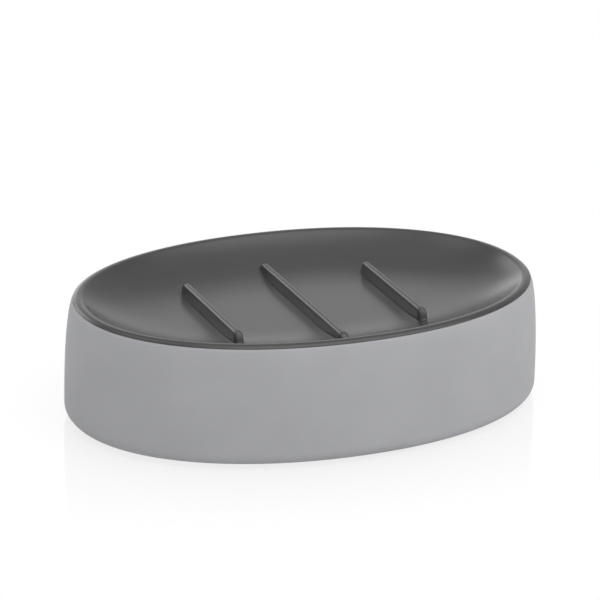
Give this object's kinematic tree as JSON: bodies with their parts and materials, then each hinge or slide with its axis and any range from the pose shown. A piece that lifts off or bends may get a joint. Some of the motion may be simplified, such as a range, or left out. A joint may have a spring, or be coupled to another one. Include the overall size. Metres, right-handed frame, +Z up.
{
  "type": "soap dish",
  "caption": "Oval soap dish with a thick matte shell and a lift-out satin tray whose raised ribs hold a bar of soap clear of the water.",
  "frame": {"origin": "middle of the footprint, on the counter that the feet stand on", "axes": "+Z up, +X along the dish's length, -Y towards the side that faces the user"},
  "size_m": [0.13, 0.089, 0.0335],
  "materials": {
    "shell": "matte soft-touch light grey",
    "tray": "satin charcoal",
    "foot": "matte black"
  },
  "bodies": {
    "shell": {"outer_shell": "shell", "foot_rear_right": "foot", "foot_rear_left": "foot", "foot_front_left": "foot", "foot_front_right": "foot"},
    "tray": {"soap_tray": "tray"}
  },
  "joints": [
    {"name": "tray_lift", "type": "slide", "parent": "shell", "child": "tray", "axis": [0, 0, 1], "range_m": [0, 0.03]}
  ]
}
